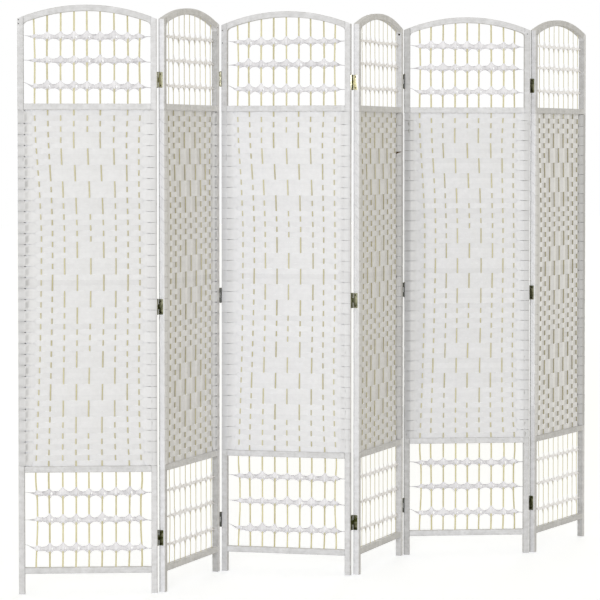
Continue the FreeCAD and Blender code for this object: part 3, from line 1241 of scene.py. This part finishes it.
        # Painted light and shade: the next panel's shade on the corners, a tone per panel, highlights and shadows at
        # the rods, and shade beside the posts.
        shade = panel.corner_shade(points) + self.tints[panel.number - 1]
        for crown, dip in rows_of(self.relief, panel.number):
            shade += self.relief_tone(sheet, crown, dip)
        for on_left, amount, reach, fade in rows_of(self.worn, panel.number):
            inward = panel.inward(points, on_left)
            shade += (inward > Panel.EDGE_FACE) * amount * np.clip((reach - inward) / fade, 0, 1)
        sheet.tone += shade
        sheet.points = panel.warp(points)
        panel.stand(sheet, self.finish, f"{panel.body}_weave", slot="woven_paper")


@dataclass
class TwinedRows(Assembly):
    """Open lattices: rows of two paper strands twined about the rods, pinched between them, with thin tails."""

    finish: bpy.types.Material
    thickness: float = 0.0006
    pinch: float = 0.0056
    rise: float = 0.0125
    overlap: float = 0.0085
    eye: float = 0.0034
    # Painted shade in the pinch between rods, and painted light beside the rods.
    twist: float = 0.2
    tail: float = 0.0009
    tail_start: float = 0.0172
    left_half: float = 0.0042
    right_half: float = 0.0055
    curl: float = 0.0008
    even_slim: float = 0.45
    odd_shifts: tuple[float, ...] = (-0.0035, 0.0015, 0.0, -0.0045, 0.0, -0.0022)
    even_shifts: tuple[float, ...] = (0.0, 0.005, 0.0035, -0.004, 0.0, -0.002)
    left_rises: tuple[float, ...] = (0.0115, 0.0, 0.003)
    right_rises: tuple[float, ...] = (-0.002, -0.005, 0.0)
    per_cell: int = 16
    tail_steps: int = 6
    across: tuple[float, ...] = (0.0, 0.2, 0.8, 1.0)
    # The even panels' strands are lighter in painted light; the edges of the strands are darker in painted shade, and
    # the tails are darker too.
    shades: tuple[float, float] = (0.37, -0.1)
    tail_shade: float = 0.3
    rim_shade: float = 0.26

    def edges(self, along: float, up: bool, eyes: tuple[float, float], slim: float) -> tuple[float, float]:
        """Lower and upper edge of a strand.

        Args:
            along: share of the way from one rod to the next.
            up: whether the strand is the upper one here.
            eyes: how far open the eyes beside the two rods are, 0 to 1.
            slim: how much the pinch is drawn in, from 1.

        Returns:
            Heights of the two edges about the row's middle.
        """
        near = abs(1 - 2 * along)
        pinch = self.pinch * slim
        outer = pinch + (self.rise + self.pinch - pinch) * near ** (2.0 / slim ** 0.2)
        inner = -pinch + (pinch - self.overlap) * near ** 1.2
        openings = [eye * max(0.0, 1 - abs(along - place) / 0.15) for eye, place in zip(eyes, (0.18, 0.85))]
        inner += (self.eye - inner) * min(1.0, 1.8 * max(openings))
        return (inner, outer) if up else (-outer, -inner)

    def strand(self, dice: random.Random, height: float, first: int, eyes: Sequence[float], slim: float,
               rises: tuple[float, float]) -> Piece:
        """One strand of a row, from post to post.

        Args:
            dice: the row's own chance.
            height: the row's height.
            first: 1 if the strand starts in front of the first rod, -1 if behind it.
            eyes: how far open the eye beside each rod is, 0 to 1.
            slim: how much the pinch between rods is drawn in, from 1.
            rises: how far the left and the right tail climb to their post.

        Returns:
            The strand, without thickness.
        """
        way: list[tuple[float, ...]] = []
        swing = Panel.ROD_DEPTH * RodSet.free_depth / 2 + self.thickness / 2 + 0.0003
        length = Panel.FIRST_ROD - self.tail_start
        tilts = dice.uniform(0.4, 0.9)
        swells = [dice.uniform(0.8, 1.16) for _ in range(Panel.RODS)]
        shifts = [dice.gauss(0.0, 0.0011) for _ in range(Panel.RODS)]
        for step in range(self.tail_steps):
            share = step / self.tail_steps
            half = self.tail * (0.15 + 0.85 * ease(share * 2.5))
            half += (self.left_half - self.tail) * ease(share * 1.5 - 0.5)
            z = rises[0] * (1 - ease(share)) ** 1.2
            y = first * self.curl * math.sin(share * 9)
            way.append((self.tail_start + length * share, y, z - half, z + half, 0.0, 0.0))
        for cell in range(Panel.RODS - 1):
            for part in range(self.per_cell):
                along = part / self.per_cell
                near, eased = abs(1 - 2 * along), ease(along)
                front = first * (1 if cell % 2 == 0 else -1) * math.cos(math.pi * along)
                low, high = self.edges(along, front > 0, (eyes[cell], eyes[cell + 1] * 0.4), slim)
                small = 0.55 + 0.45 * ease(along * 2) if cell == 0 else 1.0
                small *= swells[cell] + (swells[cell + 1] - swells[cell]) * eased
                jitter = dice.gauss(0, 0.0004) + shifts[cell] + (shifts[cell + 1] - shifts[cell]) * eased
                depth = -swing * max(-1.0, min(1.0, front * 1.5))
                way.append((Panel.rod_place(cell) + along * Panel.ROD_PITCH, depth, low * small + jitter,
                            high * small + jitter, first * tilts * 0.0016 * (1 - near), 0.6 - near))
        for step in range(self.tail_steps + 1):
            share = step / self.tail_steps
            half = self.right_half + (self.tail - self.right_half) * ease(share * 1.5)
            z = rises[1] * ease(share) + 0.003 * first * (1 - ease(share * 2))
            y = first * (self.curl * math.sin(share * 9) - swing * (1 - ease(share * 1.4)))
            way.append((Panel.rod_place(Panel.RODS - 1) + length * share, y, z - half, z + half, 0.0, 0.0))
        piece, step, over = Piece.ribbon("strand", len(way), len(self.across))
        over = np.array(self.across)[over]
        x, depth, low, high, tilt, mark = np.array(way)[step].T
        crown = np.array([dice.gauss(0.0004, 0.0004) for _ in way])[step] * (1 - (2 * over - 1) ** 2)
        depth = depth + tilt * (2 * over - 1) + np.sign(depth) * crown
        piece.points = np.stack([x, depth, height + low + (high - low) * over], axis=1)
        # Painted shade in the pinch between rods and on the strands' edges, painted light beside the rods; the tails
        # are darker.
        marks = np.array([dice.gauss(0.0, 0.05) for _ in way])[step] + self.twist * slim * mark
        tails = self.tail_shade * ((x < Panel.FIRST_ROD - 0.008) | (x > 0.36))
        shade = self.shades[slim != 1.0] + dice.gauss(0.0, 0.04)
        piece.tone = shade + marks + tails + self.rim_shade * (np.abs(2 * over - 1) > 0.9)
        piece.lay_out()
        return piece

    def dress(self, panel: Panel) -> None:
        """Puts six twined rows in one panel.

        Args:
            panel: the panel.
        """
        dice = random.Random(400 + panel.number)
        slim, shifts = (1.0, self.odd_shifts) if panel.number % 2 else (self.even_slim, self.even_shifts)
        strands = []
        for number, height in enumerate(Panel.ROWS_HIGH + Panel.ROWS_LOW):
            lead = 1 if number % 2 == 0 else -1
            eyes = [dice.uniform(0.5, 1.0) if rod % 2 else dice.uniform(0.0, 0.8) for rod in range(Panel.RODS)]
            rises = tuple(table[number % 3] + dice.uniform(-0.0015, 0.0015)
                          for table in (self.left_rises, self.right_rises))
            strands += [self.strand(dice, height + shifts[number], first, eyes, slim, rises)
                        for first in (lead, -lead)]
        rows = Piece.join(f"{panel.body}_lattice_twined", strands)
        rows.thicken(self.thickness)
        rows.soften(70)
        rows.points = panel.warp(rows.points)
        panel.stand(rows, self.finish, f"{panel.body}_lattice", slot="twined_paper")


@dataclass
class Hinges(Assembly):
    """Butt hinges on the posts' edges: plates with rolled knuckles, slotted screws and headed pins."""

    plate_finish: bpy.types.Material
    pin_finish: bpy.types.Material
    screw_finish: bpy.types.Material
    heights: tuple[float, ...] = (0.158, 0.829, 1.485)
    front_raise: float = 0.012
    height: float = 0.045
    width: float = 0.0135
    plate: float = 0.0012
    plate_corner: float = 0.0018
    plate_edge: float = 0.0002
    joint: float = 0.003
    knuckle: float = 0.0021
    knuckle_edge: float = 0.00025
    knuckle_gap: float = 0.0003
    offset: float = 0.0028
    pin: float = 0.0012
    pin_head: float = 1.6
    pin_tone: float = 0.85
    screw: float = 0.0024
    screw_height: float = 0.0008
    slot: float = 0.0006
    slot_depth: float = 0.0004
    screw_spread: float = 0.0165
    roll_reach: float = 0.0029
    dull_tone: float = 2.5
    # Joint, whether on its left panel, hinge from below, and the tone of a leaf that is rubbed bright.
    rubbed: tuple[tuple[int, bool, int, float], ...] = (
        (1, True, 2, 0.1), (1, False, 2, 0.6), (2, True, 2, 0.35), (2, False, 2, 0.35), (3, False, 1, 0.7),
        (3, True, 2, 0.05), (3, False, 2, 0.05))

    def axes(self, joint: int, on_left_panel: bool) -> list[Vector]:
        """Middles of a joint's pins; where they stand at the front, the upper two hinges are higher.

        Args:
            joint: the joint, from 1.
            on_left_panel: whether they are wanted in the frame of the joint's left panel.

        Returns:
            A place for each hinge, from below.
        """
        side = self.pin_side(joint)
        raised = self.front_raise if side is Side.FRONT else 0.0
        x = Panel.WIDTH + self.joint / 2 if on_left_panel else -self.joint / 2
        levels = [height + (raised if number else 0.0) for number, height in enumerate(self.heights)]
        return [Vector((x, side.value * (Panel.DEPTH / 2 + self.offset), level)) for level in levels]

    @staticmethod
    def pin_side(joint: int) -> Side:
        """The face of the panels that a joint's pins stand on."""
        return Side.BACK if joint % 2 else Side.FRONT

    def leaf(self, name: str, numbers: Sequence[int]) -> Piece:
        """One left leaf about its pin at the origin.

        Args:
            name: the piece's name.
            numbers: which of the three knuckles are its own.

        Returns:
            The leaf.
        """
        face, half, far = -self.joint / 2, self.height / 2, -self.offset - self.width
        front, across = face + self.plate, runs_along(0)
        plate = Piece.block(name, (face, far, -half), (front, -self.offset, half))
        plate.bevel(lambda edge: across(edge) and edge.verts[0].co.y < far + 1e-5, self.plate_corner, 4)
        plate.bevel(lambda edge: all(v.co.x > front - TINY for v in edge.verts), self.plate_edge, 2)
        parts = [plate]
        step = self.height / 3
        length = step - self.knuckle_gap
        for number in numbers:
            low = number * step - half + self.knuckle_gap / 2
            roll = Piece.barrel("roll", self.knuckle, low, length, 20)
            roll.bevel(lambda edge: abs(edge.verts[0].co.z - edge.verts[1].co.z) < 1e-7, self.knuckle_edge, 2)
            tab = Piece.block("tab", (face, -self.offset - 0.0002, low), (front, 0, low + length))
            with tab.editing(Pick.FACES, lambda tested: tested.normal.y > 0.9):
                bpy.ops.mesh.inset(thickness=0.0001)
                bpy.ops.transform.translate(value=(0.0006, 0, 0))
            parts += [roll, tab]
        leaf = Piece.join(name, parts)
        leaf.soften(35)
        return leaf

    def screw_head(self) -> Piece:
        """One slotted screw head at the origin, facing +X.

        Returns:
            The head.
        """
        head = Piece.barrel("screw", self.screw, -self.screw_height, self.screw_height, 20)
        half = self.slot / 2
        head.bevel(lambda edge: all(v.co.z > -TINY for v in edge.verts), 0.0003, 2)
        head.slice(lambda face: face.normal.z > 0.99, [((place, 0, 0), (1, 0, 0)) for place in (-half, half)])
        with head.editing(Pick.FACES, lambda f: f.normal.z > 0.99 and abs(f.calc_center_median().x) < 0.0002):
            bpy.ops.mesh.extrude_region_move(TRANSFORM_OT_translate={"value": (0, 0, -self.slot_depth)})
        head.mesh.transform(Matrix.Rotation(math.radians(90), 4, "Y"))
        head.soften(35)
        return head

    def headed_pin(self) -> Piece:
        """One hinge pin about the origin with a small domed head at each end.

        Returns:
            The pin.
        """
        pin = Piece.barrel("pin", self.pin, -self.height / 2, self.height, 16)
        for way in (1, -1):
            with pin.editing(Pick.FACES, lambda face: face.normal.z * way > 0.9):
                bpy.ops.mesh.extrude_region_move(TRANSFORM_OT_translate={"value": (0, 0, way * 0.0001)})
                bpy.ops.transform.resize(value=(self.pin_head, self.pin_head, 1))
                bpy.ops.mesh.extrude_region_move(TRANSFORM_OT_translate={"value": (0, 0, way * 0.0007)})
                bpy.ops.mesh.bevel(offset=0.0005, segments=3, affect="EDGES")
        pin.soften(45)
        return pin

    def build(self) -> None:
        """Models a leaf of each kind, a screw head and a pin."""
        self.patterns = {"outer": self.leaf("outer_leaf", (0, 2)), "inner": self.leaf("inner_leaf", (1,)),
                         "screw": self.screw_head(), "pin": self.headed_pin()}

    def put(self, kind: str, turn: Matrix, spot: Vector) -> Piece:
        """Copies one pattern to a spot.

        Args:
            kind: which pattern.
            turn: its turn or mirror about the origin.
            spot: where the origin goes.

        Returns:
            The copy.
        """
        piece = self.patterns[kind].copy(kind)
        piece.mesh.transform(Matrix.Translation(spot) @ turn)
        if turn.determinant() < 0:
            piece.mesh.flip_normals()
        return piece

    def edge(self, joint: int, on_left_panel: bool) -> tuple[list[Piece], list[Piece]]:
        """The leaves and screws of one joint on one of its panels.

        Args:
            joint: the joint, from 1.
            on_left_panel: whether the panel is the joint's left one.

        Returns:
            The leaves, and their screws.
        """
        side = self.pin_side(joint)
        mirror = Matrix.Diagonal((1 if on_left_panel else -1, side.value, 1, 1))
        leaves, screws = [], []
        dice = random.Random(500 + joint * 2 + on_left_panel)
        rubbed = dict(rows_of(self.rubbed, joint, on_left_panel))
        for number, spot in enumerate(self.axes(joint, on_left_panel)):
            leaf = self.put("outer" if on_left_panel else "inner", mirror, spot)
            away = np.linalg.norm((leaf.points - np.array(spot))[:, :2], axis=1)
            # Where the pins are at the back, the knuckles take the full patina tone: patina, and painted shade on the
            # barrels.
            roll = rubbed.get(number, self.dull_tone) if side is Side.FRONT else 1.0
            leaf.tone = np.where(away < self.roll_reach, roll, rubbed.get(number, dice.uniform(0.82, 1.0)))
            leaves.append(leaf)
            for way in (-1, 1):
                turned = Matrix.Rotation(dice.uniform(0, math.pi), 4, "X")
                seat = Matrix.Translation((-self.joint / 2 + self.plate + 0.00008, -self.offset - self.width / 2,
                                           way * self.screw_spread))
                screws.append(self.put("screw", mirror @ seat @ turned, spot))
                screws[-1].tone = dice.uniform(0.9, 1.1)
        return leaves, screws

    def dress(self, panel: Panel) -> None:
        """Puts the leaves, screws and pins on one panel.

        Args:
            panel: the panel.
        """
        sides = [(joint, on_left) for joint, on_left in ((panel.number - 1, False), (panel.number, True))
                 if joint in JOINTS]
        leaves, screws = (sum(kind, []) for kind in zip(*(self.edge(*side) for side in sides)))
        plates = Piece.join(f"{panel.body}_hinge_plates", leaves)
        panel.stand(plates, self.plate_finish, f"{panel.body}_hinge_leaves", slot="hinge_brass")
        panel.stand(Piece.join(f"{panel.body}_hinge_screws", screws), self.screw_finish, slot="hinge_brass")
        if panel.number in JOINTS:
            node = f"hinge_pins_{panel.number}_{panel.number + 1}"
            spots = self.axes(panel.number, True)
            pins = Piece.join(f"{node}_headed", [self.put("pin", Matrix.Identity(4), spot) for spot in spots])
            pins.tone = self.pin_tone
            panel.stand(pins, self.pin_finish, node, slot="hinge_pin")


@dataclass
class CornerNails(Assembly):
    """Small dark nails in the tops of the posts, front and back; one goes in from the inner face."""

    finish: bpy.types.Material
    radius: float = 0.0015
    tone: float = 1.1
    # Panel, distance from its left edge and distance below its shoulders.
    spots: tuple[tuple[int, float, float], ...] = (
        (1, 0.0036, 0.004), (1, 0.0036, 0.015), (2, 0.387, 0.008), (2, 0.387, 0.030), (3, 0.0036, 0.016),
        (3, 0.0036, 0.054), (5, 0.391, 0.012), (6, 0.009, 0.012))
    inner_panel: int = 4
    inner_spot: tuple[float, float, float] = (0.0012, -0.0017, 0.0158)
    inner_lean: float = 120
    inner_scale: float = 2.3

    def build(self) -> None:
        """Models one nail's head, facing +Z."""
        nail = self.patterns["nail"] = Piece.barrel("nail", self.radius, -0.0006, 0.001, 12)
        nail.bevel(lambda edge: all(v.co.z > 0.0003 for v in edge.verts), 0.0003, 2)
        nail.soften(50)

    def dress(self, panel: Panel) -> None:
        """Puts the nails in the tops of one panel's posts.

        Args:
            panel: the panel.
        """
        shoulder = Panel.arch_level(Panel.ARCH_OUTER, 0.0)
        places = [Matrix.Translation((x, side.value * Panel.DEPTH / 2, shoulder - drop))
                  @ Matrix.Rotation(math.radians(-90 * side.value), 4, "X")
                  for x, drop in rows_of(self.spots, panel.number) for side in Side]
        if panel.number == self.inner_panel:
            lift, y, drop = self.inner_spot
            places.append(Matrix.Translation((Panel.WIDTH - Panel.POST - lift, y, shoulder - drop))
                          @ Matrix.Rotation(math.radians(-self.inner_lean), 4, "Y")
                          @ Matrix.Scale(self.inner_scale, 4))
        heads = [self.patterns["nail"].copy("nail") for _ in places]
        for head, place in zip(heads, places):
            head.mesh.transform(place)
        nails = Piece.join(f"{panel.body}_corner_nails", heads)
        nails.tone = self.tone
        panel.stand(nails, self.finish)


@dataclass
class PartedLoops(Assembly):
    """Bare brown wood that shows in a wedge where two of one panel's loops have parted at the right post."""

    finish: bpy.types.Material
    number: int = 4
    height: float = 1.2765
    tall: float = 0.0078
    tip: float = 0.0006
    thickness: float = 0.0005
    cuts: int = 9
    tone: float = 0.75
    ends: tuple[float, float] = (0.0430, 0.0170)
    # How the strip leaves the post: distances from the panel's edge, and how far forward the wedge is there.
    slope: tuple[tuple[float, float], ...] = (
        (0.0188, 0.0094), (0.0208, 0.0084), (0.0235, 0.0069), (0.0276, 0.0043), (0.0314, 0.0026), (0.0346, 0.0021))

    def dress(self, panel: Panel) -> None:
        """Puts the wedge in its panel, just in front of the strip.

        Args:
            panel: the panel; only one has a wedge.
        """
        if panel.number != self.number:
            return
        wedge = Piece.block(f"{panel.body}_bare_wood", (0, 0, 0), (1, 1, 1))
        wedge.divide(0, self.cuts)
        along, through, up = wedge.points.T
        inward = self.ends[0] + (self.ends[1] - self.ends[0]) * along
        forward = np.interp(inward, *zip(*self.slope))
        rise = self.tall + (self.tip - self.tall) * along
        wedge.points = panel.warp(np.stack([Panel.WIDTH - inward, self.thickness * (through - 1) - forward,
                                            self.height - rise * (1 - up)], axis=1))
        wedge.lay_out()
        wedge.tone = self.tone
        panel.stand(wedge, self.finish)


@dataclass
class Studio:
    """Pale floor, soft light and the camera at the photograph's place."""

    floor_finish: bpy.types.Material
    floor_size: float = 60
    floor_level: float = -0.0002
    eye: tuple[float, float, float] = (-4.2571, -6.5239, 1.2933)
    yaw: float = 32.273
    pitch: float = 1.704
    lens: float = 152.73
    sensor: float = 36.0
    shift: float = -0.13
    clip: tuple[float, float] = (0.1, 200.0)
    ambient: float = 0.655
    ambient_tint: Colour = (1.0, 0.962, 0.825)
    lamps: tuple[tuple[str, float, float], ...] = (("key", 1.31, 0.0), ("rear", 1.0, 180.0))
    lamp_tint: Colour = (0.97, 1.03, 1.175)
    lamp_distance: float = 6
    softness: float = 20.0
    aside: float = 9.0
    above: float = 7.0

    @staticmethod
    def put(name: str, data: bpy.types.ID) -> bpy.types.Object:
        """Puts a camera or a lamp in the scene.

        Args:
            name: its name.
            data: its settings.

        Returns:
            Its object.
        """
        thing = bpy.data.objects.new(name, data)
        bpy.context.scene.collection.objects.link(thing)
        return thing

    def camera(self) -> None:
        """Sets the camera."""
        lens = bpy.data.cameras.new("camera")
        lens.lens, lens.sensor_width, lens.shift_y = self.lens, self.sensor, self.shift
        lens.clip_start, lens.clip_end = self.clip
        camera = bpy.context.scene.camera = self.put("camera", lens)
        camera.location = self.eye
        camera.rotation_euler = (math.radians(90 - self.pitch), 0, math.radians(-self.yaw))

    def lamp(self, name: str, strength: float, turn: float) -> None:
        """Adds one even lamp.

        Args:
            name: its name.
            strength: its strength.
            turn: the angle in degrees from the camera's side of the screen.
        """
        light = bpy.data.lights.new(name, "SUN")
        light.angle, light.energy, light.color = math.radians(self.softness), strength, self.lamp_tint
        fall = Vector((0, 1, -math.tan(math.radians(self.above))))
        way = Matrix.Rotation(math.radians(turn - self.yaw - self.aside), 3, "Z") @ fall
        lamp = self.put(name, light)
        lamp.location = -self.lamp_distance * way
        lamp.rotation_euler = way.to_track_quat("-Z", "Y").to_euler()

    def world(self) -> None:
        """An even pale surround that is seen as white."""
        world = bpy.context.scene.world = bpy.data.worlds.new("surround")
        world.use_nodes = True
        board = NodeBoard(world.node_tree)
        seen = board.white_seen()
        strength = board.math("ADD", board.math("MULTIPLY", seen, 1 - self.ambient), self.ambient)
        tint = board.mix(seen, self.ambient_tint, (1.0, 1.0, 1.0))
        sky = board.add("Background", {"Color": tint, "Strength": strength})
        board.add("OutputWorld", {"Surface": sky.outputs["Background"]})

    def build(self) -> None:
        """Sets floor, surround, lamps and camera."""
        bpy.context.scene.view_settings.view_transform = "Standard"
        floor = Piece.added("floor", bpy.ops.mesh.primitive_plane_add, size=self.floor_size,
                            location=(0, 0, self.floor_level))
        floor.mesh.materials.append(self.floor_finish)
        self.world()
        for settings in self.lamps:
            self.lamp(*settings)
        self.camera()


PAPER = FibreFinish("woven_paper_strip", srgb(245, 244, 245), srgb(140, 139, 138), 0.11, 0.15, (0.75, 0.9), 0.35)
TWINED = FibreFinish("twined_paper_strip", srgb(255, 253, 255), srgb(170, 167, 171), 0.35, 0.45, (0.75, 0.9), 0.5)
TAPE = FibreFinish("paper_tape", srgb(240, 239, 241), srgb(120, 118, 111), 0.32, 0.4, (0.7, 0.85), 0.25)
ROD = FibreFinish("peeled_rod", srgb(238, 231, 190), srgb(119, 106, 63), 0.4, 0.3, (0.5, 0.7), 0.4)
BRASS = BrassFinish("antique_brass", srgb(236, 231, 198), srgb(58, 61, 27))
PIN = BrassFinish("pin_brass", srgb(210, 200, 150), srgb(64, 62, 34))
SCREW = BrassFinish("screw_brass", srgb(120, 106, 60), srgb(28, 26, 14))
NAIL = BrassFinish("dark_nail", srgb(96, 92, 86), srgb(40, 38, 36))
WOOD = FibreFinish("bare_wood", srgb(122, 96, 60), srgb(58, 42, 20), 0.5, 0.5, (0.6, 0.8), 0.3)
FLOOR = FloorFinish("pale_floor", ((0.86, 0.86, 0.86), (0.88, 0.88, 0.88)), (1.0, 1.04, 1.14), 0.385)


def main() -> None:
    """Builds every sub-assembly, panel by panel, then the studio."""
    logging.basicConfig(level=logging.INFO, format="%(name)s: %(message)s")
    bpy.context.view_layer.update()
    assemblies = (
        TapedFrame(TAPE.material()), RodSet(ROD.material()), Weave(PAPER.material()), TwinedRows(TWINED.material()),
        Hinges(BRASS.material(), PIN.material(), SCREW.material()), CornerNails(NAIL.material()),
        PartedLoops(WOOD.material()))
    for assembly in assemblies:
        assembly.build()
    for panel in map(Panel.at, PANELS):
        for assembly in assemblies:
            assembly.dress(panel)
    for assembly in assemblies:
        assembly.clear_away()
    Studio(FLOOR.material()).build()


if __name__ == "__main__":
    main()
